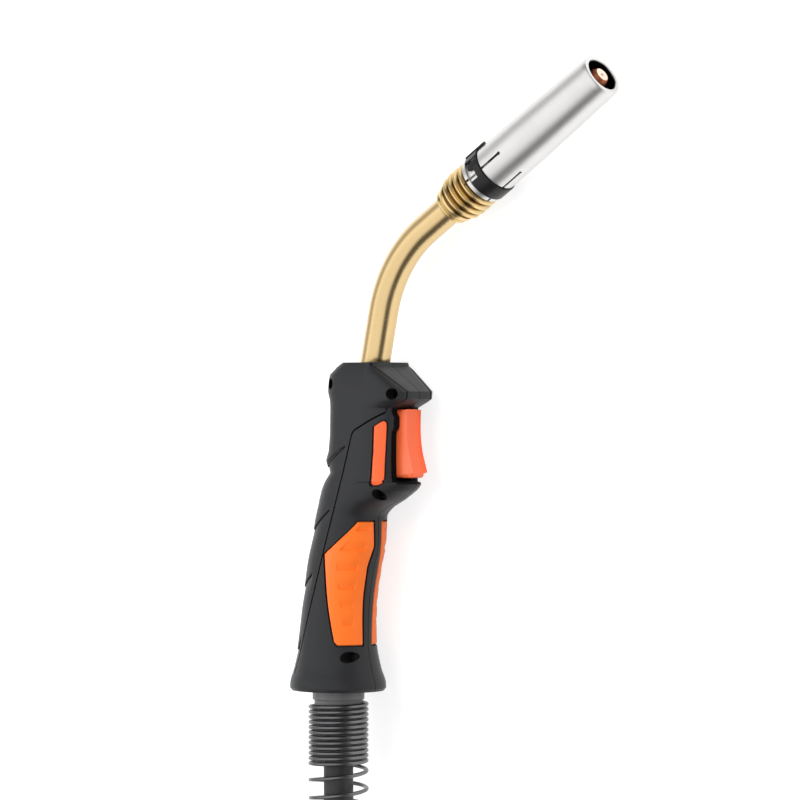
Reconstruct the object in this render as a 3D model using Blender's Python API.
"""An air-cooled MIG welding torch, lying on its left side, with its cable coiled behind it.

Lengths are in metres.  The torch is drawn in its own axes: x towards the trigger, y to the
left hand, z from the cable end of the handle towards the nozzle.  The empty torch_axes lays
it on the table, where +Z is up and the nozzle points to +X.
"""

import math

import bmesh
import bpy
from mathutils import Matrix, Vector

for old in list(bpy.data.objects):
    bpy.data.objects.remove(old, do_unlink=True)

# ---------------------------------------------------------------- driving dimensions
GAP = 0.0003  # between pieces that touch
WALL = 0.0024  # handle mouldings

# Handle.  Each station is (height, back, widest, front, half width, back power, front power):
# a front and a back half of a superellipse that meet where the section is widest.
# Heights in the grip, here and in the tables of its seam and its pads, are shares of its length.
GRIP_LENGTH = 0.0897  # from the handle's cable end up to the trigger's guard
GRIP_STATIONS = (
    (0.0000, -0.0234, 0.0000, 0.0226, 0.0215, 2.0, 2.0),
    (0.0156, -0.0246, 0.0000, 0.0238, 0.0224, 2.0, 2.0),
    (0.0446, -0.0243, 0.0000, 0.0236, 0.0224, 2.0, 2.0),
    (0.1226, -0.0224, -0.0002, 0.0213, 0.0203, 2.0, 2.0),
    (0.2598, -0.0203, -0.0004, 0.0190, 0.0185, 2.0, 2.0),
    (0.4905, -0.0175, 0.0014, 0.0198, 0.0174, 2.0, 2.0),
    (0.6689, -0.0152, 0.0042, 0.0227, 0.0172, 2.0, 2.0),
    (0.8138, -0.0119, 0.0070, 0.0256, 0.0172, 2.0, 2.0),
    (0.9420, -0.0093, 0.0100, 0.0256, 0.0170, 2.1, 2.0),
)
# The upper stations give their depth below the handle's top in place of the height.
UPPER_LENGTH = 0.0696
UPPER_STATIONS = (
    (UPPER_LENGTH, -0.0078, 0.0115, 0.0313, 0.0169, 2.1, 2.0),
    (0.0661, -0.0066, 0.0130, 0.0392, 0.0169, 2.2, 2.0),
    (0.0616, -0.0050, 0.0150, 0.0468, 0.0168, 2.3, 2.0),
    (0.0584, -0.0032, 0.0170, 0.0502, 0.0168, 2.4, 2.0),
    (0.0577, -0.0028, 0.0172, 0.0500, 0.0168, 2.4, 2.0),
    (0.0573, -0.0026, 0.0172, 0.0440, 0.0167, 2.4, 3.0),
    (0.0533, 0.0010, 0.0180, 0.0438, 0.0165, 2.5, 3.0),
    (0.0473, -0.0016, 0.0190, 0.0436, 0.0165, 2.6, 3.0),
    (0.0430, 0.0004, 0.0200, 0.0436, 0.0165, 2.7, 3.0),
    (0.0350, 0.0017, 0.0200, 0.0437, 0.0165, 2.8, 3.0),
    (0.0220, 0.0020, 0.0200, 0.0440, 0.0165, 2.8, 3.0),
    (0.0190, 0.0018, 0.0200, 0.0495, 0.0165, 2.8, 3.6),
    (0.0176, 0.0015, 0.0200, 0.0513, 0.0165, 2.8, 4.2),
    (0.0140, 0.0002, 0.0200, 0.0514, 0.0165, 2.8, 4.4),
    (0.0058, 0.0012, 0.0200, 0.0400, 0.0164, 2.8, 6.0),
    (0.0020, 0.0060, 0.0200, 0.0347, 0.0160, 2.8, 8.0),
    (0.0000, 0.0095, 0.0200, 0.0344, 0.0154, 2.8, 8.0),
)
HANDLE_LENGTH = GRIP_LENGTH + UPPER_LENGTH
BASE_FLOOR = 0.0080  # thickness of the handle's cable end
TOP_ROOF = 0.0040  # thickness of its neck end
CAVITY_FRONT = 0.0412  # keeps the nose and the guard solid
OVERCUT = 0.0010  # how far a cutter passes the faces it cuts
SEAM_GAP = 0.0004  # between the shells and the rear covers
# The seam between a shell and its cover, seen from the side: (x, height) in the grip, and
# (x, depth below the top) above it.
SEAM_LOW = ((-0.0400, 0.0948), (-0.0140, 0.0948), (-0.0104, 0.2207))
SEAM_HIGH = ((0.0142, 0.0614), (0.0222, 0.0344), (0.0235, 0.0325), (0.0496, 0.0186), (0.0650, 0.0104))
# The front of the nose belongs to the shells: its edges seen from above, (x, half width), and
# its back seen from the side, (x, depth below the top).
NOSE_EDGE = ((0.0300, 0.0139), (0.0700, 0.0032))
NOSE_BACK = ((0.0328, -0.0120), (0.0328, 0.0055), (0.0395, 0.0098), (0.0395, 0.0263))

# Swan neck and head
NECK_TILT = math.radians(12.0)  # where it leaves the handle
NECK_EXIT = 0.0235  # forward of the cable's axis
NECK_DIAMETER = 0.0144
NECK_WALL = 0.0011
NECK_STRAIGHT = 0.0251
NECK_BEND_RADIUS = 0.0620
NECK_BEND = math.radians(45.0)
NECK_REACH = 0.0179  # straight run from the bend to the ribbed head
NECK_DEPTH = 0.0350  # of the tube inside the handle
HEAD_LENGTH = 0.0212
HEAD_DIAMETER = 0.0244
HEAD_SOCKET = 0.0120  # how far the neck enters the head
HEAD_SPIGOT = 0.0140  # diameter that carries the insulator
RIB_COUNT = 5
RIB_PITCH = 0.0037
RIB_DEPTH = 0.0017
FIRST_RIB_DROP = 0.0016  # the first rib is lower than the rest
HEAD_FLANGE = (0.0010, 0.0012)  # how much lower than the grooves, and its length

# Inside the neck
SLEEVE_DIAMETER = 0.0110
INNER_TUBE_DIAMETER = 0.0078
LINER_DIAMETER = 0.0030
TUBE_WALL = 0.0012

# Clamped end of the neck and the cable's fitting, along the neck's axis inside the handle
BLOCK_DIAMETER = 0.0190
BLOCK_TOP = 0.0200
BLOCK_LENGTH = 0.0360
BLOCK_RIB_PLACES = (0.0040, 0.0280)  # from the block's top to the ribs of the shells that hold it
BLOCK_RIB_THICKNESS = 0.0024
BLOCK_RIB_REACH = 0.0245
TAIL_DIAMETER = 0.0110
TAIL_LENGTH = 0.0080
NUT_WIDTH = 0.0160  # across the flats
NUT_LENGTH = 0.0140
FERRULE_WALL = 0.0013
FERRULE_LENGTH = 0.0200
FERRULE_FLOOR = 0.0020

# Nozzle and consumables, measured along the nozzle from its rear end
NOZZLE_LENGTH = 0.0862
NOZZLE_REAR_DIAMETER = 0.0238
NOZZLE_MOUTH_DIAMETER = 0.0212
NOZZLE_MOUTH_BORE = 0.0162
NOZZLE_REAR_BORE = 0.0190
NOZZLE_TAPER_START = 0.0330
NOZZLE_BORE_LENGTH = 0.0300  # of the straight bore behind the mouth
SLOT_COUNT = 5
SLOT_WIDTH = 0.0010
SLOT_LENGTH = 0.0237
SLOT_TURN = math.radians(-13.4)
CLIP_START = 0.0030
CLIP_WIDTH = 0.0080
CLIP_GROOVE = 0.0010
CLIP_THICKNESS = 0.0014
CLIP_OPENING = math.radians(58.0)
CLIP_TURN = math.radians(-51.0)
INSULATOR_LENGTH = 0.0150
INSULATOR_LIP = 0.0030  # past the head's spigot, and of the tip holder past the insulator
HOLDER_DIAMETER = 0.0124
HOLDER_TAPER = 0.0020
GAS_HOLE_PLACE = 0.0110  # past the insulator
GAS_HOLE = 0.0018
TIP_DIAMETER = 0.0098
TIP_LENGTH = 0.0300
TIP_CHAMFER = (0.0014, 0.0025)  # off the radius, and along the tip
WIRE_BORE = 0.0012

# Trigger and switch; depths are below the handle's top
TRIGGER_WIDTH = 0.0104
TRIGGER_PIVOT = (0.0410, 0.0288)
TRIGGER_TRAVEL = math.radians(5.5)
TRIGGER_WALL = 0.0018
TRIGGER_CLEARANCE = 0.0005
TRIGGER_FRONT = (
    (0.0463, 0.0225),
    (0.0461, 0.0330),
    (0.0470, 0.0418),
    (0.0487, 0.0480),
    (0.0504, 0.0535),
    (0.0503, 0.0549),
    (0.0492, 0.0555),
)
TRIGGER_BACK = ((0.0372, 0.0555), (0.0360, 0.0420), (0.0372, 0.0225))
POCKET_TOP = 0.0400  # of the trigger's hollow
POCKET_BOTTOM = 0.0537
YOKE_WIDTH = 0.0044  # room for the return spring between the trigger's lugs
YOKE_ROOM = 0.0034
RETURN_WIRE = 0.0007
RETURN_RADIUS = 0.0023
RETURN_PITCH = 0.0012
RETURN_CURLS = 2
RETURN_LEG = 0.0045
BAY_TOP = 0.0219
BAY_BOTTOM = 0.0569
PIN_DIAMETER = 0.0030
PIN_LENGTH = 0.0170
CHEEK_WALL = 0.0030
SWITCH_DEPTH = 0.0075
SWITCH_WIDTH = 0.0056
SWITCH_LENGTH = 0.0105
SWITCH_BACK = 0.0295
SWITCH_LOW = 0.0520  # depth of its lower end
SHELF_THICKNESS = 0.0030
PLUNGER_DIAMETER = 0.0024
PLUNGER_HEIGHT = 0.0030  # above the switch's lower end
PLUNGER_LENGTH = 0.0085
PLUNGER_TRAVEL = 0.0020
LEAD_DIAMETER = 0.0013
LEAD_SPACING = 0.0030
# Route of a lead in the middle plane: (x, depth)
LEAD_ROUTE = ((0.0315, 0.0523), (0.0300, 0.0590), (0.0255, 0.0680), (0.0206, 0.0760), (0.0186, 0.0850))

# Screws that close the handle: (x, height) of the low one, (x, depth) of the others
LOW_SCREW = (0.0160, 0.1895)
HIGH_SCREWS = ((0.0354, 0.0635), (0.0458, 0.0152), (0.0068, 0.0103))
SCREW_SHANK = 0.0026
SCREW_HEAD = 0.0046
SCREW_HEAD_HEIGHT = 0.0018
SCREW_SEAT = 0.0050  # from the middle plane to the face under the head
SCREW_REACH = 0.0082  # of the shank past the middle plane
BOSS_DIAMETER = 0.0076

# Grip pads and badges lie in pockets of the shells.  A row of their edges is (height, first
# turn, last turn), with a depth for the badges; a turn is in degrees round from the front.
PAD_DEPTH = 0.0014
PAD_EDGES = (
    (0.2520, 11.0, 51.0),
    (0.2709, 10.5, 56.3),
    (0.4850, 13.0, 71.6),
    (0.6745, 14.0, 84.8),
    (0.7447, 11.0, 89.7),
    (0.7826, 8.8, 79.0),
    (0.8194, 9.2, 68.5),
    (0.8673, 9.8, 54.7),
    (0.9197, 10.3, 39.8),
)
BADGE_DEPTH = 0.0009
BADGE_EDGES = (
    (0.0590, 54.0, 58.0),
    (0.0580, 49.0, 60.8),
    (0.0561, 39.8, 60.7),
    (0.0308, 36.0, 59.0),
    (0.0291, 36.5, 50.0),
    (0.0282, 40.0, 44.0),
)

# Cable end of the torch, and the same fittings at the plug
CABLE_DIAMETER = 0.0145
CABLE_LENGTH = 3.0
BUSHING_DIAMETER = 0.0253
BUSHING_LENGTH = 0.0350
BUSHING_FLANGE = 0.0310
BUSHING_FLANGE_HEIGHT = 0.0030
SPRING_WIRE = 0.0020
SPRING_DIAMETER = 0.0295
SPRING_START = 0.0058  # below the handle
SPRING_TIGHT_PITCH = 0.0025
SPRING_TIGHT_CURLS = 12
SPRING_OPEN_PITCH = 0.0088
SPRING_OPEN_CURLS = 8
CURL_POINTS = 8

# Route of the cable in the handle, (x, height), and down to the table, (place, height)
CABLE_IN_HANDLE = ((0.0016, 0.0500), (0.0003, 0.0330), (0.0, 0.0150), (0.0, -0.0100), (0.0, -0.0400))
CABLE_DROP = (
    (-0.0700, 0.0247),
    (-0.0950, 0.0231),
    (-0.1200, 0.0202),
    (-0.1450, 0.0167),
    (-0.1750, 0.0126),
    (-0.2100, 0.0098),
    (-0.2500, 0.0087),
    (-0.2950, 0.00855),
)

# Cable on the table
COIL_TURNS = 4.5
COIL_PITCH = 0.0151  # between turns that lie side by side, and between the two layers
COIL_START = -0.3600  # along the table from the handle's end
LOOP_POINTS = 24
TAIL_RUN = 0.0500  # from the coil to the plug's spring
TIE_WIDTH = 0.0200
TIE_THICKNESS = 0.0010

# Plug, measured along its axis from the cable end of its housing
PLUG_TIGHT_CURLS = 8
PLUG_OPEN_CURLS = 3
HOUSING_FLOOR = 0.0040
PLUG_SEAT = 0.0520  # how far the cable enters it
HOUSING_LENGTH = 0.0700
HOUSING_REAR_DIAMETER = 0.0372
HOUSING_DIAMETER = 0.0400
HOUSING_WALL = 0.0026
HOUSING_TAPER = 0.0300  # length of the narrower rear
HOUSING_EDGE = 0.0010
HOUSING_LIP = 0.0040  # in front of the plug body's flange
FLANGE_RIB = (0.0015, 0.0040)  # behind the flange: its clearance to the body, and its thickness
PLUG_BODY_DIAMETER = 0.0270
PLUG_FLANGE_DIAMETER = 0.0342
PLUG_FLANGE_THICKNESS = 0.0035
PLUG_CRIMP = 0.0150  # of the plug body over the cable
PLUG_TAPER = (0.0030, 0.0060)  # from the cable's end to where the plug body widens
PLUG_SCREW_PLACE = 0.0220
PLUG_SCREW_OFFSET = 0.0115
PLUG_BOSS_DIAMETER = 0.0053
PLUG_BOSS_REACH = 0.0128
ADAPTER_DIAMETER = 0.0460
ADAPTER_LENGTH = 0.0380
ADAPTER_BORE = 0.0400
ADAPTER_FLANGE = 0.0040
NIPPLE_DIAMETER = 0.0100
NIPPLE_REACH = 0.0240
NIPPLE_EDGE = 0.0010
FACE_DIAMETER = 0.0310
FACE_LENGTH = 0.0110
LOBE_DEPTH = 0.0012
RING_SECTION = 0.0016
RING_PLACE = 0.0060  # from the outlet's end
RING_GROOVE = 0.0010
CONTACT_DIAMETER = 0.0036
CONTACT_LENGTH = 0.0120
CONTACT_OFFSET = 0.0098
CONTACT_REACH = 0.0050  # in front of the face


# ---------------------------------------------------------------- objects and meshes
def material(name, colour, roughness, metallic=0.0):
    made = bpy.data.materials.new(name)
    made.use_nodes = True
    shader = made.node_tree.nodes["Principled BSDF"]
    shader.inputs["Base Color"].default_value = (*colour, 1.0)
    shader.inputs["Roughness"].default_value = roughness
    shader.inputs["Metallic"].default_value = metallic
    made.diffuse_color = (*colour, 1.0)
    return made


def place_object(name, data, finish=None, parent=None, place=None):
    made = bpy.data.objects.new(name, data)
    bpy.context.scene.collection.objects.link(made)
    if finish:
        data.materials.append(finish)
    made.parent = parent
    if place is not None:
        made.matrix_local = place
    return made


def cutter(name, mesh, parent, place=None):
    made = place_object(name, mesh, parent=parent, place=place)
    made.hide_render = True
    made.display_type = "WIRE"
    return made


def combine(target, tool, operation="DIFFERENCE"):
    step = target.modifiers.new(tool.name, "BOOLEAN")
    step.operation = operation
    step.object = tool
    return target


def finished(bm, smooth_angle=35.0):
    bmesh.ops.recalc_face_normals(bm, faces=bm.faces)
    mesh = bpy.data.meshes.new("mesh")
    bm.to_mesh(mesh)
    bm.free()
    mesh.shade_smooth()
    mesh.set_sharp_from_angle(angle=math.radians(smooth_angle))
    return mesh


def loft(rings, ends=True, smooth_angle=35.0):
    """Skins a row of rings; without ends, the last ring joins the first."""
    bm = bmesh.new()
    rows = [[bm.verts.new(point) for point in ring] for ring in rings]
    pairs = list(zip(rows, rows[1:]))
    if not ends:
        pairs.append((rows[-1], rows[0]))
    for low, high in pairs:
        for i in range(len(low)):
            j = (i + 1) % len(low)
            bm.faces.new((low[i], low[j], high[j], high[i]))
    if ends:
        bm.faces.new(rows[0][::-1])
        bm.faces.new(rows[-1])
    return finished(bm, smooth_angle)


def turned(outline, sides=24):
    """Turns a closed outline of (radius, height) round the z axis."""
    bm = bmesh.new()
    points = [bm.verts.new((radius, 0.0, height)) for radius, height in outline]
    for a, b in zip(points, points[1:] + points[:1]):
        if a.co.x > 0 or b.co.x > 0:
            bm.edges.new((a, b))
    bmesh.ops.spin(
        bm,
        geom=bm.verts[:] + bm.edges[:],
        cent=(0, 0, 0),
        axis=(0, 0, 1),
        angle=math.tau,
        steps=sides,
        use_merge=True,
    )
    bmesh.ops.remove_doubles(bm, verts=bm.verts, dist=1e-6)
    return finished(bm)


def extruded(outline, low, high):
    """Pushes an outline of (x, z) along y from low to high."""
    rings = [[(x, y, z) for x, z in outline] for y in (low, high)]
    return loft(rings)


def box(low, high):
    outline = ((low[0], low[2]), (high[0], low[2]), (high[0], high[2]), (low[0], high[2]))
    return extruded(outline, low[1], high[1])


def rod(diameter, low, high, sides=16):
    radius = diameter / 2
    return turned(((0, low), (radius, low), (radius, high), (0, high)), sides)


def pipe(outer, bore, low, high, sides=20):
    return turned(((bore / 2, low), (outer / 2, low), (outer / 2, high), (bore / 2, high)), sides)


def circle(radius, sides, phase=0.0):
    turns = [math.tau * i / sides + phase for i in range(sides)]
    return [(radius * math.cos(turn), radius * math.sin(turn)) for turn in turns]


def wire(name, points, diameter, finish, parent=None, resolution=1):
    """A round tube along a line of points, with flat ends."""
    curve = bpy.data.curves.new(name, "CURVE")
    curve.dimensions = "3D"
    curve.bevel_depth = diameter / 2
    curve.bevel_resolution = resolution
    curve.use_fill_caps = True
    curve.twist_mode = "MINIMUM"
    line = curve.splines.new("POLY")
    line.points.add(len(points) - 1)
    for knot, point in zip(line.points, points):
        knot.co = (*point, 1.0)
    return place_object(name, curve, finish, parent)


def smooth_line(route, spacing):
    """Points about spacing apart on a smooth curve through the route's own points."""
    route = [Vector(p) for p in route]
    padded = [route[0] * 2 - route[1], *route, route[-1] * 2 - route[-2]]
    line = []
    for before, a, b, after in zip(padded, padded[1:], padded[2:], padded[3:]):
        steps = max(1, round((b - a).length / spacing))
        for step in range(steps):
            t = step / steps
            line.append(
                0.5
                * (
                    a * 2
                    + (b - before) * t
                    + (before * 2 - a * 5 + b * 4 - after) * t**2
                    + (a * 3 - before - b * 3 + after) * t**3
                )
            )
    return [*line, route[-1]]


def length_of(line):
    return sum((b - a).length for a, b in zip(line, line[1:]))


def along(line, distance):
    """The point at a distance along a line, and the line's direction there."""
    for a, b in zip(line, line[1:]):
        piece = (b - a).length
        if distance <= piece:
            return a + (b - a) * (distance / piece), (b - a) / piece
        distance -= piece
    return line[-1] + (b - a) / piece * distance, (b - a) / piece


def print_least_gap(name, line, turn_points, diameter):
    """The least gap between the turns of a wound piece, on its own points."""
    later = turn_points // 2
    least = min((a - b).length for i, a in enumerate(line) for b in line[i + later :])
    print(f"{name}: least gap to itself {(least - diameter) * 1000:.2f} mm")


# ---------------------------------------------------------------- the handle's outer shape
STATIONS = [(s[0] * GRIP_LENGTH, *s[1:]) for s in GRIP_STATIONS]
STATIONS += [(HANDLE_LENGTH - s[0], *s[1:]) for s in UPPER_STATIONS]


def level(depth):
    return HANDLE_LENGTH - depth


def between(table, height):
    """Reads a table of rows that start with a height, straight between the rows."""
    height = min(max(height, table[0][0]), table[-1][0])
    for low, high in zip(table, table[1:]):
        if height <= high[0]:
            share = (height - low[0]) / (high[0] - low[0])
            return [a + (b - a) * share for a, b in zip(low[1:], high[1:])]


def skin(height, turn, inset=0.0, front_limit=1.0):
    back, widest, front, half, back_power, front_power = between(STATIONS, height)
    forward = math.cos(turn) > 0
    power = front_power if forward else back_power
    reach = (min(front, front_limit) - widest if forward else widest - back) - inset
    x = widest + math.copysign(reach * abs(math.cos(turn)) ** (2 / power), math.cos(turn))
    y = math.copysign((half - inset) * abs(math.sin(turn)) ** (2 / power), math.sin(turn))
    return Vector((x, y, height))


def skin_ring(height, inset=0.0, front_limit=1.0, sides=20):
    turns = [math.tau * (i + 0.5) / sides for i in range(sides)]
    return [skin(height, turn, inset, front_limit) for turn in turns]


def patch(heights, edges, outer, inner, margin=0.0, columns=7):
    """A plate that follows the skin between two depths; edges gives its first and last turn."""
    rings = []
    for height in heights:
        first, last = (math.radians(turn) for turn in edges(height))
        spread = margin / between(STATIONS, height)[3]
        first, last = first - spread, last + spread
        turns = [first + (last - first) * i / (columns - 1) for i in range(columns)]
        over = [skin(height, turn, outer) for turn in turns]
        under = [skin(height, turn, inner) for turn in reversed(turns)]
        rings.append(over + under)
    return loft(rings)


def mirrored(mesh):
    """The same mesh on the other side of the middle plane."""
    bm = bmesh.new()
    bm.from_mesh(mesh)
    bmesh.ops.scale(bm, vec=(1, -1, 1), verts=bm.verts)
    return finished(bm)


# ---------------------------------------------------------------- materials
CHARCOAL = material("charcoal_plastic", (0.035, 0.036, 0.038), 0.55)
ORANGE = material("orange_rubber", (0.85, 0.17, 0.02), 0.5)
RED_ORANGE = material("red_orange_plastic", (0.9, 0.12, 0.03), 0.4)
GREY = material("grey_plastic", (0.12, 0.12, 0.125), 0.5)
BLACK = material("black_plastic", (0.01, 0.01, 0.01), 0.45)
RUBBER = material("cable_rubber", (0.02, 0.02, 0.021), 0.7)
WHITE = material("white_insulator", (0.75, 0.74, 0.7), 0.4)
BRASS = material("brass", (0.62, 0.43, 0.14), 0.3, 1.0)
COPPER = material("copper", (0.72, 0.3, 0.16), 0.35, 1.0)
NICKEL = material("satin_nickel", (0.62, 0.61, 0.6), 0.3, 1.0)
STEEL = material("steel", (0.3, 0.3, 0.31), 0.35, 1.0)
DARK_STEEL = material("black_steel", (0.02, 0.02, 0.02), 0.35, 1.0)

# ---------------------------------------------------------------- axes
# The torch rests on the base of its handle and on the flat left side below the neck.
base_height, base_half = STATIONS[2][0], STATIONS[2][4]
shoulder_height, shoulder_half = level(UPPER_STATIONS[-3][0]), UPPER_STATIONS[-3][4]
REST_TILT = math.atan2(base_half - shoulder_half, shoulder_height - base_height)
LAY = Matrix(((0, 0, 1, 0), (-1, 0, 0, 0), (0, -1, 0, 0), (0, 0, 0, 1)))
AXIS_HEIGHT = base_half * math.cos(REST_TILT) + base_height * math.sin(REST_TILT)
TORCH_PLACE = Matrix.Translation((0, 0, AXIS_HEIGHT)) @ Matrix.Rotation(REST_TILT, 4, "Y") @ LAY


def turned_frame(origin, direction, parent_turn=0.0):
    """A frame in the torch's middle plane with its z axis along a direction."""
    tilt = math.atan2(direction.x, direction.z)
    return Matrix.Translation(origin) @ Matrix.Rotation(tilt, 4, "Y") @ Matrix.Rotation(parent_turn, 4, "Z")


# The neck's centre line, from deep in the handle to the ribbed head
NECK_START = Vector((NECK_EXIT, 0, HANDLE_LENGTH))
NECK_RISE = Vector((math.sin(NECK_TILT), 0, math.cos(NECK_TILT)))
BEND_START = NECK_START + NECK_RISE * NECK_STRAIGHT
BEND_CENTRE = BEND_START + Vector((math.cos(NECK_TILT), 0, -math.sin(NECK_TILT))) * NECK_BEND_RADIUS
NOZZLE_TILT = NECK_TILT + NECK_BEND
NOZZLE_WAY = Vector((math.sin(NOZZLE_TILT), 0, math.cos(NOZZLE_TILT)))


def on_bend(tilt):
    return BEND_CENTRE + Vector((-math.cos(tilt), 0, math.sin(tilt))) * NECK_BEND_RADIUS


HEAD_START = on_bend(NOZZLE_TILT) + NOZZLE_WAY * NECK_REACH
NOZZLE_START = HEAD_START + NOZZLE_WAY * (HEAD_LENGTH + GAP)
BEND_STEPS = 6


def neck_ring(outer, bore, depth, past, sides):
    """Rings of a bent tube from a depth inside the handle to past the start of the head."""
    stops = [(NECK_START - NECK_RISE * depth, NECK_TILT)]
    for step in range(BEND_STEPS + 1):
        tilt = NECK_TILT + NECK_BEND * step / BEND_STEPS
        stops.append((on_bend(tilt), tilt))
    stops.append((HEAD_START + NOZZLE_WAY * past, NOZZLE_TILT))
    walls = []
    for radius in (outer / 2, bore / 2):
        wall = []
        for centre, tilt in stops:
            across = Vector((math.cos(tilt), 0, -math.sin(tilt)))
            wall.append([centre + across * u + Vector((0, v, 0)) for u, v in circle(radius, sides)])
        walls.append(wall)
    return walls[0] + walls[1][::-1]


torch = place_object("torch_axes", None, place=TORCH_PLACE)
neck_axis = turned_frame(NECK_START, NECK_RISE)
nozzle_axis = turned_frame(NOZZLE_START, NOZZLE_WAY)


def torch_piece(name, mesh, finish, place=None):
    return place_object(name, mesh, finish, torch, place)


# ---------------------------------------------------------------- handle shells and rear covers
screw_places = [(LOW_SCREW[0], LOW_SCREW[1] * GRIP_LENGTH)]
screw_places += [(x, level(depth)) for x, depth in HIGH_SCREWS]
seam = [(x, share * GRIP_LENGTH) for x, share in SEAM_LOW]
seam += [(x, level(depth)) for x, depth in SEAM_HIGH]
shell_outline = [(x + 0.7 * SEAM_GAP, z - 0.7 * SEAM_GAP) for x, z in seam]
# Cutters reach these far planes, all clear of the handle, and those of the hollow pass its walls.
far_front, far_back, far_side, past_wall = 0.0700, -0.0500, 0.0500, 0.0300
far_low, far_high = -0.0100, HANDLE_LENGTH + 0.0100
shell_outline += [(far_front, shell_outline[-1][1]), (far_front, far_low), (far_back, far_low)]
cover_outline = [*seam, (far_front, seam[-1][1]), (far_front, far_high), (far_back, far_high)]
SIDES = {"right": -1, "left": 1}
cut_heights = [s[0] for s in STATIONS]

along_y = Matrix.Rotation(math.radians(-90), 4, "X")
cavity_heights = [BASE_FLOOR]
for height in cut_heights:
    if cavity_heights[-1] + 0.003 < height < level(TOP_ROOF):
        cavity_heights.append(height)
cavity_heights.append(level(TOP_ROOF))
cavity = cutter("cavity", loft([skin_ring(h, WALL, CAVITY_FRONT, 16) for h in cavity_heights]), torch)
for number, (x, z) in enumerate(screw_places, 1):
    post = rod(BOSS_DIAMETER, -past_wall, past_wall, 10)
    combine(cavity, cutter(f"boss_{number}", post, torch, Matrix.Translation((x, 0, z)) @ along_y))
block_foot = BLOCK_TOP + BLOCK_LENGTH
# Two ribs hold the clamp block, a shelf backs the switch, and cheeks carry the trigger's pin.
for number, place in enumerate(BLOCK_RIB_PLACES, 1):
    rib_top = level(BLOCK_TOP + place)
    rib_low = (-past_wall, -past_wall, rib_top - BLOCK_RIB_THICKNESS)
    rib = box(rib_low, (BLOCK_RIB_REACH, past_wall, rib_top))
    combine(cavity, cutter(f"rib_{number}", rib, torch))
shelf_low, shelf_high = level(SWITCH_LOW), level(SWITCH_LOW) + SWITCH_LENGTH
bay_back = SWITCH_BACK - GAP
shelf_back, shelf_front = bay_back - SHELF_THICKNESS, bay_back + OVERCUT
shelf = box((shelf_back, -past_wall, shelf_low), (shelf_front, past_wall, shelf_high))
combine(cavity, cutter("shelf", shelf, torch))
pin_x, pin_z = TRIGGER_PIVOT[0], level(TRIGGER_PIVOT[1])
cheek_reach = PIN_DIAMETER / 2 + CHEEK_WALL
bay_half = TRIGGER_WIDTH / 2 + TRIGGER_CLEARANCE
for side, sign in SIDES.items():
    low, high = sorted((sign * (bay_half - OVERCUT), sign * past_wall))
    cheek = box((pin_x - cheek_reach, low, pin_z - cheek_reach), (far_front, high, pin_z + cheek_reach))
    combine(cavity, cutter(f"cheek_{side}", cheek, torch))
bay = box((bay_back, -bay_half, level(BAY_BOTTOM)), (far_front, bay_half, level(BAY_TOP)))
combine(cavity, cutter("trigger_bay", bay, torch), "UNION")

block_channel = cutter(
    "block_channel",
    rod(BLOCK_DIAMETER + 2 * GAP, -block_foot - GAP, -BLOCK_TOP + GAP, 24),
    torch,
    neck_axis,
)
neck_hole = cutter("neck_hole", rod(NECK_DIAMETER + 2 * GAP, -0.018, 0.018, 20), torch, neck_axis)
base_hole = cutter("base_hole", rod(BUSHING_DIAMETER + 2 * GAP, -0.01, BASE_FLOOR + 0.002, 24), torch)
screw_holes = []
for number, (x, z) in enumerate(screw_places, 1):
    head, shank = SCREW_HEAD / 2 + GAP, SCREW_SHANK / 2 + GAP
    stepped = ((0, -past_wall), (head, -past_wall), (head, -SCREW_SEAT), (shank, -SCREW_SEAT))
    stepped += ((shank, SCREW_REACH + GAP), (0, SCREW_REACH + GAP))
    hole_place = Matrix.Translation((x, 0, z)) @ along_y
    hole = cutter(f"screw_hole_{number}", turned(stepped, 10), torch, hole_place)
    screw_holes.append(hole)
pin_hole = cutter(
    "pin_hole",
    rod(PIN_DIAMETER + 2 * GAP, -PIN_LENGTH / 2 - GAP, PIN_LENGTH / 2 + GAP, 12),
    torch,
    Matrix.Translation((pin_x, 0, pin_z)) @ along_y,
)

pad_rows = [(share * GRIP_LENGTH, first, last) for share, first, last in PAD_EDGES]
badge_rows = [(level(depth), first, last) for depth, first, last in BADGE_EDGES]


def pad_edges(height):
    return between(pad_rows, height)


def badge_edges(height):
    return between(badge_rows, height)


def stretched(heights, margin):
    return [heights[0] - margin, *heights[1:-1], heights[-1] + margin]


def nose_slab(name, margin=0.0):
    """The shells' share of the nose, from behind its slanted face to its front."""
    outline = [(x - margin, level(depth)) for x, depth in NOSE_BACK]
    outline += [(far_front + 0.005, outline[-1][1]), (far_front + 0.005, outline[0][1])]
    slab = cutter(name, extruded(outline, -past_wall, past_wall), torch)
    plan = [(x, half + margin) for x, half in NOSE_EDGE]
    plan += [(x, -half) for x, half in reversed(plan)]
    prism = loft([[(*point, z) for point in plan] for z in (level(BAY_BOTTOM), far_high + 0.005)])
    combine(slab, cutter(f"{name}_plan", prism, torch), "INTERSECT")
    return slab


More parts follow.
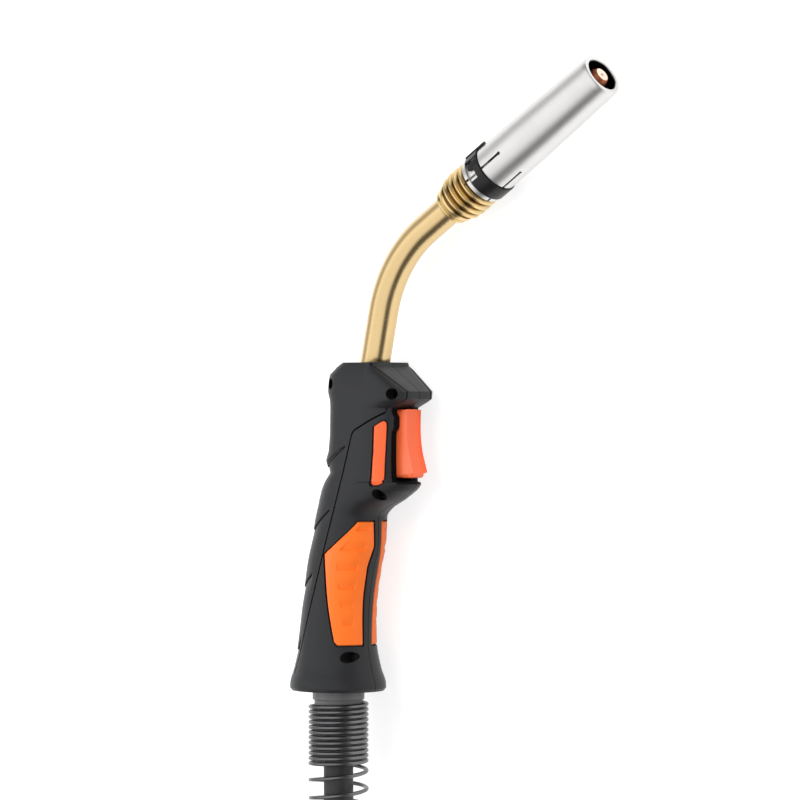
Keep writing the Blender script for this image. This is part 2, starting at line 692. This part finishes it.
shell_region = cutter("shell_region", extruded(shell_outline, -far_side, far_side), torch)
combine(shell_region, nose_slab("shell_nose"), "UNION")
cover_region = cutter("cover_region", extruded(cover_outline, -far_side, far_side), torch)
combine(cover_region, nose_slab("cover_nose", SEAM_GAP))
pocket_clear = 1.5 * GAP
pad_heights = [row[0] for row in pad_rows]
pad_mesh = patch(pad_heights, pad_edges, 0.0, PAD_DEPTH)
pad_pocket = patch(stretched(pad_heights, pocket_clear), pad_edges, -0.002, PAD_DEPTH + GAP, pocket_clear)
badge_heights = [row[0] for row in badge_rows]
badge_mesh = patch(badge_heights, badge_edges, 0.0002, BADGE_DEPTH, columns=4)
badge_pocket = patch(
    stretched(badge_heights, pocket_clear), badge_edges, -0.002, BADGE_DEPTH + GAP, pocket_clear, 4
)

for side, sign in SIDES.items():
    low, high = sorted((sign * GAP / 2, sign * far_side))
    half = cutter(f"half_{side}", box((far_back, low, far_low), (far_front, high, far_high)), torch)
    for kind, region in (("handle_shell", shell_region), ("rear_cover", cover_region)):
        body = torch_piece(f"{kind}_{side}", loft([skin_ring(h) for h in cut_heights]), CHARCOAL)
        combine(body, region, "INTERSECT")
        combine(body, cavity)
        combine(body, block_channel)
        combine(body, neck_hole)
        for hole in screw_holes:
            combine(body, hole)
        if kind == "handle_shell":
            combine(body, base_hole)
            combine(body, pin_hole)
            for name, pocket in (("pad", pad_pocket), ("badge", badge_pocket)):
                shape = pocket.copy() if sign > 0 else mirrored(pocket)
                combine(body, cutter(f"{name}_pocket_{side}", shape, torch))
        combine(body, half, "INTERSECT")
    pad = pad_mesh.copy() if sign > 0 else mirrored(pad_mesh)
    torch_piece(f"grip_pad_{side}", pad, ORANGE)
    badge = badge_mesh.copy() if sign > 0 else mirrored(badge_mesh)
    torch_piece(f"badge_{side}", badge, RED_ORANGE)

screw_outline = (
    (0, SCREW_REACH),
    (0, -SCREW_SEAT - SCREW_HEAD_HEIGHT * 0.45),
    (SCREW_HEAD * 0.24, -SCREW_SEAT - SCREW_HEAD_HEIGHT * 0.45),
    (SCREW_HEAD * 0.3, -SCREW_SEAT - GAP - SCREW_HEAD_HEIGHT),
    (SCREW_HEAD / 2, -SCREW_SEAT - GAP - SCREW_HEAD_HEIGHT * 0.7),
    (SCREW_HEAD / 2, -SCREW_SEAT - GAP),
    (SCREW_SHANK / 2, -SCREW_SEAT - GAP),
    (SCREW_SHANK / 2, SCREW_REACH),
)
for number, (x, z) in enumerate(screw_places, 1):
    torch_piece(
        f"shell_screw_{number}", turned(screw_outline, 8), STEEL, Matrix.Translation((x, 0, z)) @ along_y
    )

# ---------------------------------------------------------------- neck and what runs inside it
neck = loft(neck_ring(NECK_DIAMETER, NECK_DIAMETER - 2 * NECK_WALL, NECK_DEPTH, HEAD_SOCKET, 16), ends=False)
torch_piece("neck_tube", neck, BRASS)
sleeve = neck_ring(SLEEVE_DIAMETER, INNER_TUBE_DIAMETER + 2 * GAP, NECK_DEPTH, HEAD_SOCKET, 8)
torch_piece("neck_sleeve", loft(sleeve, ends=False), BLACK)
inner = neck_ring(INNER_TUBE_DIAMETER, LINER_DIAMETER + 2 * TUBE_WALL, NECK_DEPTH, HEAD_SOCKET, 8)
torch_piece("current_tube", loft(inner, ends=False), COPPER)
tip_start = NOZZLE_LENGTH - TIP_LENGTH
liner = neck_ring(LINER_DIAMETER, WIRE_BORE, block_foot - 0.004, HEAD_LENGTH + tip_start, 6)
torch_piece("wire_liner", loft(liner, ends=False), STEEL)

liner_room = LINER_DIAMETER + 2 * GAP
block_outline = (
    (liner_room / 2, -block_foot - TAIL_LENGTH),
    (TAIL_DIAMETER / 2, -block_foot - TAIL_LENGTH),
    (TAIL_DIAMETER / 2, -block_foot),
    (BLOCK_DIAMETER / 2, -block_foot),
    (BLOCK_DIAMETER / 2, -BLOCK_TOP),
    (NECK_DIAMETER / 2 + GAP, -BLOCK_TOP),
    (NECK_DIAMETER / 2 + GAP, -NECK_DEPTH - GAP),
    (liner_room / 2, -NECK_DEPTH - GAP),
)
torch_piece("neck_block", turned(block_outline, 16), BRASS, neck_axis)

nut_high = -block_foot - GAP
nut_low = nut_high - NUT_LENGTH
nut_section = circle(NUT_WIDTH / math.sqrt(3), 6, math.pi / 6)
nut_rings = [[(*p, z) for p in nut_section] for z in (nut_low, nut_high)]
union_nut = torch_piece("union_nut", loft(nut_rings), BRASS, neck_axis)
nut_hole = rod(TAIL_DIAMETER + 2 * GAP, nut_low - OVERCUT, nut_high + OVERCUT, 16)
nut_bore = cutter("nut_bore", nut_hole, torch, neck_axis)
combine(union_nut, nut_bore)

nose_top = -block_foot - TAIL_LENGTH - GAP
ferrule_low = nut_low - GAP - FERRULE_LENGTH
cable_seat = nut_low - GAP - FERRULE_FLOOR
ferrule_bore = CABLE_DIAMETER / 2 + GAP
ferrule_outline = (
    (0, nose_top),
    (TAIL_DIAMETER / 2, nose_top),
    (TAIL_DIAMETER / 2, nut_low - GAP),
    (ferrule_bore + FERRULE_WALL, nut_low - GAP),
    (ferrule_bore + FERRULE_WALL, ferrule_low),
    (ferrule_bore, ferrule_low),
    (ferrule_bore, cable_seat),
    (0, cable_seat),
)
torch_piece("cable_ferrule", turned(ferrule_outline, 16), BRASS, neck_axis)

# ---------------------------------------------------------------- ribbed head, nozzle and tip
head_radius = HEAD_DIAMETER / 2
groove = head_radius - RIB_DEPTH
flange_rim = groove - HEAD_FLANGE[0]
head_outer = [(flange_rim, 0), (flange_rim, HEAD_FLANGE[1])]
rib_zone = HEAD_LENGTH - RIB_COUNT * RIB_PITCH
for rib in range(RIB_COUNT):
    low = rib_zone + rib * RIB_PITCH
    crest = head_radius - (FIRST_RIB_DROP if rib == 0 else 0.0)
    head_outer += [(groove, low), (crest, low + 0.30 * RIB_PITCH), (crest, low + 0.72 * RIB_PITCH)]
spigot = HEAD_SPIGOT / 2
head_outline = [
    *head_outer,
    (groove, HEAD_LENGTH),
    (spigot, HEAD_LENGTH),
    (spigot, HEAD_LENGTH + INSULATOR_LENGTH - INSULATOR_LIP),
    (liner_room / 2, HEAD_LENGTH + INSULATOR_LENGTH - INSULATOR_LIP),
    (liner_room / 2, HEAD_SOCKET + GAP),
    (NECK_DIAMETER / 2 + GAP, HEAD_SOCKET + GAP),
    (NECK_DIAMETER / 2 + GAP, 0),
]
head_axis = turned_frame(HEAD_START, NOZZLE_WAY)
torch_piece("neck_head", turned(head_outline, 16), BRASS, head_axis)

rear_bore = NOZZLE_REAR_BORE / 2
insulator = pipe(NOZZLE_REAR_BORE - 2 * GAP, HEAD_SPIGOT + 2 * GAP, GAP, INSULATOR_LENGTH, 20)
torch_piece("nozzle_insulator", insulator, WHITE, nozzle_axis)

holder_start = INSULATOR_LENGTH - INSULATOR_LIP + GAP
holder_end = tip_start - GAP
holder_outline = (
    (liner_room / 2, holder_start),
    (spigot, holder_start),
    (spigot, INSULATOR_LENGTH + INSULATOR_LIP),
    (HOLDER_DIAMETER / 2, INSULATOR_LENGTH + INSULATOR_LIP + HOLDER_TAPER),
    (HOLDER_DIAMETER / 2, holder_end),
    (liner_room / 2, holder_end),
)
holder = torch_piece("tip_holder", turned(holder_outline, 16), BRASS, nozzle_axis)
hole_level = INSULATOR_LENGTH + GAS_HOLE_PLACE
for number in range(2):
    across = Matrix.Translation((0, 0, hole_level)) @ Matrix.Rotation(math.pi / 2 * number, 4, "Z")
    across = across @ Matrix.Rotation(math.pi / 2, 4, "X")
    gas_hole = rod(GAS_HOLE, 0.0025, 0.01, 8)
    for half in range(2):
        turn = Matrix.Rotation(math.pi * half, 4, "X")
        tool = cutter(f"gas_hole_{number}_{half}", gas_hole.copy(), torch, nozzle_axis @ across @ turn)
        combine(holder, tool)

bore = WIRE_BORE / 2
tip_radius = TIP_DIAMETER / 2
tip_outline = (
    (bore, tip_start),
    (tip_radius, tip_start),
    (tip_radius, NOZZLE_LENGTH - TIP_CHAMFER[1]),
    (tip_radius - TIP_CHAMFER[0], NOZZLE_LENGTH),
    (bore, NOZZLE_LENGTH),
)
torch_piece("contact_tip", turned(tip_outline, 20), COPPER, nozzle_axis)

nozzle_rear = NOZZLE_REAR_DIAMETER / 2
nozzle_mouth = NOZZLE_MOUTH_DIAMETER / 2
mouth_bore = NOZZLE_MOUTH_BORE / 2
clip_bed = nozzle_rear - CLIP_GROOVE
clip_end = CLIP_START + CLIP_WIDTH
nozzle_outline = (
    (rear_bore, GAP),
    (nozzle_rear, GAP),
    (nozzle_rear, CLIP_START - GAP),
    (clip_bed, CLIP_START - GAP),
    (clip_bed, clip_end + GAP),
    (nozzle_rear, clip_end + GAP),
    (nozzle_rear, NOZZLE_TAPER_START),
    (nozzle_mouth + 0.0002, NOZZLE_LENGTH - 0.0008),
    (nozzle_mouth - 0.0006, NOZZLE_LENGTH),
    (mouth_bore + 0.0004, NOZZLE_LENGTH),
    (mouth_bore, NOZZLE_LENGTH - 0.0006),
    (mouth_bore, NOZZLE_LENGTH - NOZZLE_BORE_LENGTH),
    (rear_bore, NOZZLE_TAPER_START),
)
nozzle = torch_piece("gas_nozzle", turned(nozzle_outline, 20), NICKEL, nozzle_axis)
for number in range(SLOT_COUNT):
    turn = SLOT_TURN + math.tau * number / SLOT_COUNT
    slot = box((0.005, -SLOT_WIDTH / 2, -0.01), (0.02, SLOT_WIDTH / 2, SLOT_LENGTH))
    tool = cutter(f"slot_{number}", slot, torch, nozzle_axis @ Matrix.Rotation(turn, 4, "Z"))
    combine(nozzle, tool)

clip_bore = clip_bed + GAP
clip_turns = [CLIP_TURN + CLIP_OPENING / 2 + (math.tau - CLIP_OPENING) * i / 22 for i in range(23)]
clip_rings = []
for turn in clip_turns:
    corners = ((clip_bore, CLIP_START), (clip_bore + CLIP_THICKNESS, CLIP_START))
    corners += ((clip_bore + CLIP_THICKNESS, clip_end), (clip_bore, clip_end))
    clip_rings.append([(r * math.cos(turn), r * math.sin(turn), z) for r, z in corners])
torch_piece("nozzle_clip_ring", loft(clip_rings), BLACK, nozzle_axis)

# ---------------------------------------------------------------- trigger and switch
trigger_outline = [(x, level(depth)) for x, depth in (*TRIGGER_FRONT, *TRIGGER_BACK)]
half_width = TRIGGER_WIDTH / 2
trigger_home = Matrix.Translation((pin_x, 0, pin_z))
trigger_shape = extruded([(x - pin_x, z - pin_z) for x, z in trigger_outline], -half_width, half_width)
trigger = torch_piece("trigger", trigger_shape, RED_ORANGE, trigger_home)
edge = trigger.modifiers.new("edge", "BEVEL")
edge.width = 0.0006
edge.segments = 1
edge.limit_method = "ANGLE"
edge.angle_limit = math.radians(40)
inside = half_width - TRIGGER_WALL
pocket_front = min(x for x, _ in TRIGGER_FRONT) - TRIGGER_WALL
pocket = box((bay_back, -inside, level(POCKET_BOTTOM)), (pocket_front, inside, level(POCKET_TOP)))
combine(trigger, cutter("trigger_pocket", pocket, torch))
yoke = box(
    (bay_back, -YOKE_WIDTH / 2, pin_z - YOKE_ROOM),
    (pin_x + YOKE_ROOM, YOKE_WIDTH / 2, pin_z + YOKE_ROOM),
)
combine(trigger, cutter("trigger_yoke", yoke, torch))
pin_bore = rod(PIN_DIAMETER + 2 * GAP, -0.02, 0.02, 12)
combine(trigger, cutter("trigger_pin_bore", pin_bore, torch, trigger_home @ along_y))
pin = rod(PIN_DIAMETER, -PIN_LENGTH / 2, PIN_LENGTH / 2, 12)
torch_piece("trigger_pin", pin, STEEL, trigger_home @ along_y)

curls = []
return_steps = RETURN_CURLS * CURL_POINTS + CURL_POINTS // 2
for i in range(return_steps + 1):
    turn = math.pi / 2 + math.tau * i / CURL_POINTS
    offset = RETURN_PITCH * (i - return_steps / 2) / CURL_POINTS
    out = Vector((-math.cos(turn), 0, math.sin(turn)))
    curls.append(Vector((pin_x, offset, pin_z)) + RETURN_RADIUS * out)
leg = Vector((-RETURN_LEG, 0, 0))
wire("trigger_spring", [curls[0] + leg, *curls, curls[-1] + leg], RETURN_WIRE, STEEL, torch)
print_least_gap("trigger_spring", curls, CURL_POINTS, RETURN_WIRE)

switch_low = level(SWITCH_LOW)
switch = box(
    (SWITCH_BACK, -SWITCH_WIDTH / 2, switch_low),
    (SWITCH_BACK + SWITCH_DEPTH, SWITCH_WIDTH / 2, switch_low + SWITCH_LENGTH),
)
switch_body = torch_piece("switch_body", switch, BLACK)
plunger_z = switch_low + PLUNGER_HEIGHT
plunger_tip = pocket_front - GAP
plunger_back = plunger_tip - PLUNGER_LENGTH
along_x = Matrix.Rotation(math.pi / 2, 4, "Y")
plunger_home = Matrix.Translation((plunger_tip, 0, plunger_z)) @ along_x
torch_piece("switch_plunger", rod(PLUNGER_DIAMETER, -PLUNGER_LENGTH, 0, 12), WHITE, plunger_home)
plunger_room = rod(PLUNGER_DIAMETER + 2 * GAP, -PLUNGER_LENGTH - PLUNGER_TRAVEL - GAP, 0.002, 12)
combine(switch_body, cutter("plunger_room", plunger_room, torch, plunger_home))

for number, sign in enumerate((-1, 1), 1):
    route = [(x, sign * LEAD_SPACING / 2, level(depth)) for x, depth in LEAD_ROUTE]
    wire(f"switch_lead_{number}", smooth_line(route, 0.006), LEAD_DIAMETER, RUBBER, torch)

# ---------------------------------------------------------------- cable, kink springs and coil
def bushing(parent, place, name):
    """Grey sleeve: its flange is held inside the housing, its narrow end carries the spring."""
    inner = CABLE_DIAMETER / 2 + GAP
    facet = math.cos(math.pi / CURL_POINTS)
    spring_seat = (SPRING_DIAMETER - SPRING_WIRE) / 2 * facet - SPRING_WIRE / 2 - GAP
    collar_end = -SPRING_START + SPRING_WIRE / 2 + GAP
    flange = BASE_FLOOR + GAP if parent else HOUSING_FLOOR + GAP
    outline = (
        (inner, -BUSHING_LENGTH),
        (spring_seat, -BUSHING_LENGTH),
        (spring_seat, collar_end),
        (BUSHING_DIAMETER / 2, collar_end),
        (BUSHING_DIAMETER / 2, flange),
        (BUSHING_FLANGE / 2, flange),
        (BUSHING_FLANGE / 2, flange + BUSHING_FLANGE_HEIGHT),
        (inner, flange + BUSHING_FLANGE_HEIGHT),
    )
    place_object(name, turned(outline, 16), GREY, parent, place)


def kink_spring(name, line, tight_curls, open_curls):
    """One unbroken wire: tight curls round the bushing, then open ones round the cable."""
    radius = (SPRING_DIAMETER - SPRING_WIRE) / 2
    points = []
    for i in range((tight_curls + open_curls) * CURL_POINTS + 1):
        curl = i / CURL_POINTS
        loose = max(0.0, curl - tight_curls)
        centre, way = along(line, (curl - loose) * SPRING_TIGHT_PITCH + loose * SPRING_OPEN_PITCH)
        side = way.cross(Vector((0, 0, 1))).normalized()
        lift = side.cross(way)
        turn = math.tau * curl
        points.append(centre + side * radius * math.cos(turn) + lift * radius * math.sin(turn))
    wire(name, points, SPRING_WIRE, DARK_STEEL)
    print_least_gap(name, points, CURL_POINTS, SPRING_WIRE)


bushing(torch, None, "cable_bushing")
ferrule_entry = neck_axis @ Vector((0, 0, cable_seat - GAP))
ferrule_mouth = neck_axis @ Vector((0, 0, ferrule_low))
in_handle = [ferrule_entry, ferrule_mouth, *(Vector((x, 0, z)) for x, z in CABLE_IN_HANDLE)]
route = [TORCH_PLACE @ point for point in in_handle]
layer_height = TIE_THICKNESS + GAP + CABLE_DIAMETER / 2
coil_entry = Vector((COIL_START + CABLE_DIAMETER, 0, layer_height))
route += [Vector((x, 0, z)) for x, z in CABLE_DROP]
route.append(coil_entry + Vector((GAP, 0, 0)))
run = smooth_line(route, 2 * CABLE_DIAMETER)
wire("cable", run, CABLE_DIAMETER, RUBBER, resolution=2)
fine_run = smooth_line(route, 0.2 * CABLE_DIAMETER)
spring_foot = TORCH_PLACE @ Vector((0, 0, -SPRING_START))
spring_line = [spring_foot, *(point for point in fine_run if point.x < spring_foot.x)]
kink_spring("kink_spring", spring_line, SPRING_TIGHT_CURLS, SPRING_OPEN_CURLS)

plug_height = ADAPTER_DIAMETER / 2
plug_rear = COIL_START + CABLE_DIAMETER + GAP + TAIL_RUN + BUSHING_LENGTH
tail_length = TAIL_RUN + BUSHING_LENGTH + PLUG_SEAT
wound_length = CABLE_LENGTH - length_of(fine_run) - tail_length
middle_turn = COIL_TURNS / 2
inner_radius = wound_length / (math.tau * COIL_TURNS) - COIL_PITCH * middle_turn / 2
outer_radius = inner_radius + COIL_PITCH * middle_turn
coil_centre = Vector((COIL_START, -outer_radius, layer_height))


def coil_point(turn):
    """Spirals in on the table, climbs where it turns back, and spirals out on top."""
    radius = inner_radius + COIL_PITCH * abs(turn - middle_turn)
    climb = min(max((turn - middle_turn) * 2 + 0.5, 0.0), 1.0)
    angle = math.pi / 2 + math.tau * turn
    return coil_centre + Vector((radius * math.cos(angle), radius * math.sin(angle), COIL_PITCH * climb))


winding = [coil_point(i / LOOP_POINTS) for i in range(round(COIL_TURNS * LOOP_POINTS) + 1)]
print_least_gap("cable_coil", winding, LOOP_POINTS, CABLE_DIAMETER)
straight = Vector((CABLE_DIAMETER, 0, 0))
wire("cable_coil", [winding[0] + straight, *winding, winding[-1] + straight], CABLE_DIAMETER, RUBBER)

tail_start = winding[-1] + straight + Vector((GAP, 0, 0))
tail_route = [tail_start, tail_start + Vector((0.2 * TAIL_RUN, 0, 0))]
for forward in (TAIL_RUN, TAIL_RUN + BUSHING_LENGTH, tail_length):
    tail_route.append(Vector((tail_start.x + forward, tail_start.y, plug_height)))
wire("cable_tail", smooth_line(tail_route, 2 * CABLE_DIAMETER), CABLE_DIAMETER, RUBBER, resolution=2)

# A strap holds the bundle where it is two turns wide and two high.  It follows the bundle's
# facets and the drift of its two layers.
tie_rows = [[], []]
facet = math.pi / LOOP_POINTS
tie_reach = TIE_WIDTH / 2 / (inner_radius + COIL_PITCH)
for wall, margin in enumerate((GAP + TIE_THICKNESS, GAP)):
    for turn in (-tie_reach, 0.0, tie_reach):
        shrink = math.cos(facet) / math.cos(facet - abs(turn))
        drift = COIL_PITCH * turn / math.tau
        way = Vector((math.cos(turn), math.sin(turn), 0))
        ring = []
        for u, v in circle(CABLE_DIAMETER / 2 + margin, 16, math.pi / 16):
            across = u + math.copysign(COIL_PITCH / 2, u) + math.copysign(1, v) * drift
            rise = v + math.copysign(COIL_PITCH / 2, v)
            radius = (inner_radius + COIL_PITCH + across) * shrink
            ring.append(coil_centre + way * radius + Vector((0, 0, COIL_PITCH / 2 + rise)))
        tie_rows[wall].append(ring)
place_object("coil_tie", loft(tie_rows[0] + tie_rows[1][::-1], ends=False), BLACK)

# ---------------------------------------------------------------- plug
plug_axis = Matrix.Translation((plug_rear, tail_start.y, plug_height)) @ Matrix.Rotation(math.pi / 2, 4, "Y")


def plug_piece(name, mesh, finish, place=plug_axis):
    return place_object(name, mesh, finish, place=place)


bushing(None, plug_axis, "plug_bushing")
plug_way = Vector((-1, 0, 0))
plug_line = [plug_axis @ Vector((0, 0, -SPRING_START)) + plug_way * d for d in (0, TAIL_RUN * 2)]
kink_spring("plug_kink_spring", plug_line, PLUG_TIGHT_CURLS, PLUG_OPEN_CURLS)

rear, front = HOUSING_REAR_DIAMETER / 2, HOUSING_DIAMETER / 2
body_radius, flange_radius = PLUG_BODY_DIAMETER / 2, PLUG_FLANGE_DIAMETER / 2
flange_end = HOUSING_LENGTH - HOUSING_LIP
flange_start = flange_end - PLUG_FLANGE_THICKNESS
housing_outline = (
    (BUSHING_DIAMETER / 2 + GAP, 0),
    (rear - HOUSING_EDGE, 0),
    (rear, HOUSING_EDGE),
    (front, HOUSING_TAPER),
    (front, HOUSING_LENGTH - HOUSING_EDGE),
    (front - HOUSING_EDGE, HOUSING_LENGTH),
    (body_radius + GAP, HOUSING_LENGTH),
    (body_radius + GAP, flange_end + GAP),
    (flange_radius + GAP, flange_end + GAP),
    (flange_radius + GAP, flange_start - GAP),
    (body_radius + FLANGE_RIB[0], flange_start - GAP),
    (body_radius + FLANGE_RIB[0], flange_start - FLANGE_RIB[1]),
    (front - HOUSING_WALL, flange_start - FLANGE_RIB[1]),
    (front - HOUSING_WALL, HOUSING_TAPER),
    (rear - HOUSING_WALL, HOUSING_FLOOR),
    (BUSHING_DIAMETER / 2 + GAP, HOUSING_FLOOR),
)
plug_screw_level = Matrix.Translation((0, 0, PLUG_SCREW_PLACE))
along_height = plug_axis @ plug_screw_level @ Matrix.Rotation(math.pi / 2, 4, "Y")
for name, low, high in (("upper", GAP / 2, 0.05), ("lower", -0.05, -GAP / 2)):
    half = plug_piece(f"plug_housing_{name}", turned(housing_outline, 16), CHARCOAL)
    for number, sign in enumerate((-1, 1), 1):
        at = along_height @ Matrix.Translation((0, sign * PLUG_SCREW_OFFSET, 0))
        post = rod(PLUG_BOSS_DIAMETER, -PLUG_BOSS_REACH, PLUG_BOSS_REACH, 10)
        combine(half, cutter(f"plug_boss_{name}_{number}", post, None, at), "UNION")
        hole = cutter(f"plug_screw_hole_{name}_{number}", turned(stepped, 10), None, at)
        combine(half, hole)
    corner_low = (plug_rear - 0.01, tail_start.y - 0.05, plug_height + low)
    corner_high = (plug_rear + HOUSING_LENGTH + 0.01, tail_start.y + 0.05, plug_height + high)
    combine(half, cutter(f"plug_region_{name}", box(corner_low, corner_high), None), "INTERSECT")
for number, sign in enumerate((-1, 1), 1):
    at = along_height @ Matrix.Translation((0, sign * PLUG_SCREW_OFFSET, 0))
    plug_piece(f"plug_screw_{number}", turned(screw_outline, 8), STEEL, at)

neck_end = HOUSING_LENGTH + 2 * GAP + ADAPTER_FLANGE
seat = PLUG_SEAT + GAP
body_outline = (
    (ferrule_bore, seat - PLUG_CRIMP),
    (ferrule_bore + FERRULE_WALL, seat - PLUG_CRIMP),
    (ferrule_bore + FERRULE_WALL, seat + PLUG_TAPER[0]),
    (body_radius, seat + PLUG_TAPER[1]),
    (body_radius, flange_start),
    (flange_radius, flange_start),
    (flange_radius, flange_end),
    (body_radius, flange_end),
    (body_radius, neck_end),
    (NIPPLE_DIAMETER / 2 + GAP, neck_end),
    (NIPPLE_DIAMETER / 2 + GAP, flange_start - GAP),
    (0, flange_start - GAP),
    (0, seat),
    (ferrule_bore, seat),
)
plug_piece("plug_body", turned(body_outline, 16), BRASS)

face_start, face_end = neck_end + GAP, neck_end + GAP + FACE_LENGTH
face_disc = pipe(FACE_DIAMETER, NIPPLE_DIAMETER + 2 * GAP, face_start, face_end, 16)
face = plug_piece("plug_face", face_disc, BLACK)
contact_start = face_end + CONTACT_REACH - CONTACT_LENGTH
for number, sign in enumerate((-1, 1), 1):
    at = plug_axis @ Matrix.Translation((0, sign * CONTACT_OFFSET, 0))
    pin_end = face_end + CONTACT_REACH
    plug_piece(f"contact_pin_{number}", rod(CONTACT_DIAMETER, contact_start, pin_end, 10), BRASS, at)
    room = rod(CONTACT_DIAMETER + 2 * GAP, face_start - OVERCUT, face_end + OVERCUT, 14)
    combine(face, cutter(f"contact_room_{number}", room, None, at))

nipple_end = face_end + NIPPLE_REACH
ring_seat = nipple_end - RING_PLACE
nipple_radius = NIPPLE_DIAMETER / 2
nipple_outline = (
    (WIRE_BORE / 2, flange_start),
    (nipple_radius, flange_start),
    (nipple_radius, ring_seat - RING_SECTION / 2 - GAP),
    (nipple_radius - RING_GROOVE, ring_seat - RING_SECTION / 2 - GAP),
    (nipple_radius - RING_GROOVE, ring_seat + RING_SECTION / 2 + GAP),
    (nipple_radius, ring_seat + RING_SECTION / 2 + GAP),
    (nipple_radius, nipple_end - NIPPLE_EDGE),
    (nipple_radius - NIPPLE_EDGE, nipple_end),
    (WIRE_BORE / 2, nipple_end),
)
plug_piece("wire_outlet", turned(nipple_outline, 12), BRASS)
ring_centre = nipple_radius - RING_GROOVE + GAP + RING_SECTION / 2
ring_outline = [(ring_centre + x, ring_seat + z) for x, z in circle(RING_SECTION / 2, 6)]
plug_piece("sealing_ring", turned(ring_outline, 16), RUBBER)

adapter_start = HOUSING_LENGTH + GAP
adapter_end = adapter_start + ADAPTER_LENGTH
hole_radius, adapter_bore = body_radius + GAP, ADAPTER_BORE / 2


def lobed(height):
    """The adapter nut's outline has twelve finger lobes."""
    ring = []
    for i in range(36):
        radius = ADAPTER_DIAMETER / 2 - (LOBE_DEPTH if i % 3 == 1 else 0.0)
        turn = math.tau * i / 36
        ring.append((radius * math.cos(turn), radius * math.sin(turn), height))
    return ring


def plain(radius, height):
    return [(x, y, height) for x, y in circle(radius, 36)]


adapter_rings = [lobed(adapter_start), lobed(adapter_end)]
adapter_rings += [plain(adapter_bore, adapter_end), plain(adapter_bore, adapter_start + ADAPTER_FLANGE)]
adapter_rings += [plain(hole_radius, adapter_start + ADAPTER_FLANGE), plain(hole_radius, adapter_start)]
plug_piece("adapter_nut", loft(adapter_rings, ends=False), BLACK)

# ---------------------------------------------------------------- origin under the torch's middle
bpy.context.view_layer.update()
depsgraph = bpy.context.evaluated_depsgraph_get()
spots = []
for piece in torch.children:
    if piece.type != "EMPTY" and not piece.hide_render:
        shown = piece.evaluated_get(depsgraph)
        spots += [shown.matrix_world @ vertex.co for vertex in shown.to_mesh().vertices]
        shown.to_mesh_clear()
lowest = [min(spot[k] for spot in spots) for k in range(3)]
highest = [max(spot[k] for spot in spots) for k in range(3)]
bench = place_object("bench", None)
for piece in list(bpy.data.objects):
    if piece.parent is None and piece is not bench:
        piece.parent = bench
bench.location = (-(lowest[0] + highest[0]) / 2, -(lowest[1] + highest[1]) / 2, -lowest[2])
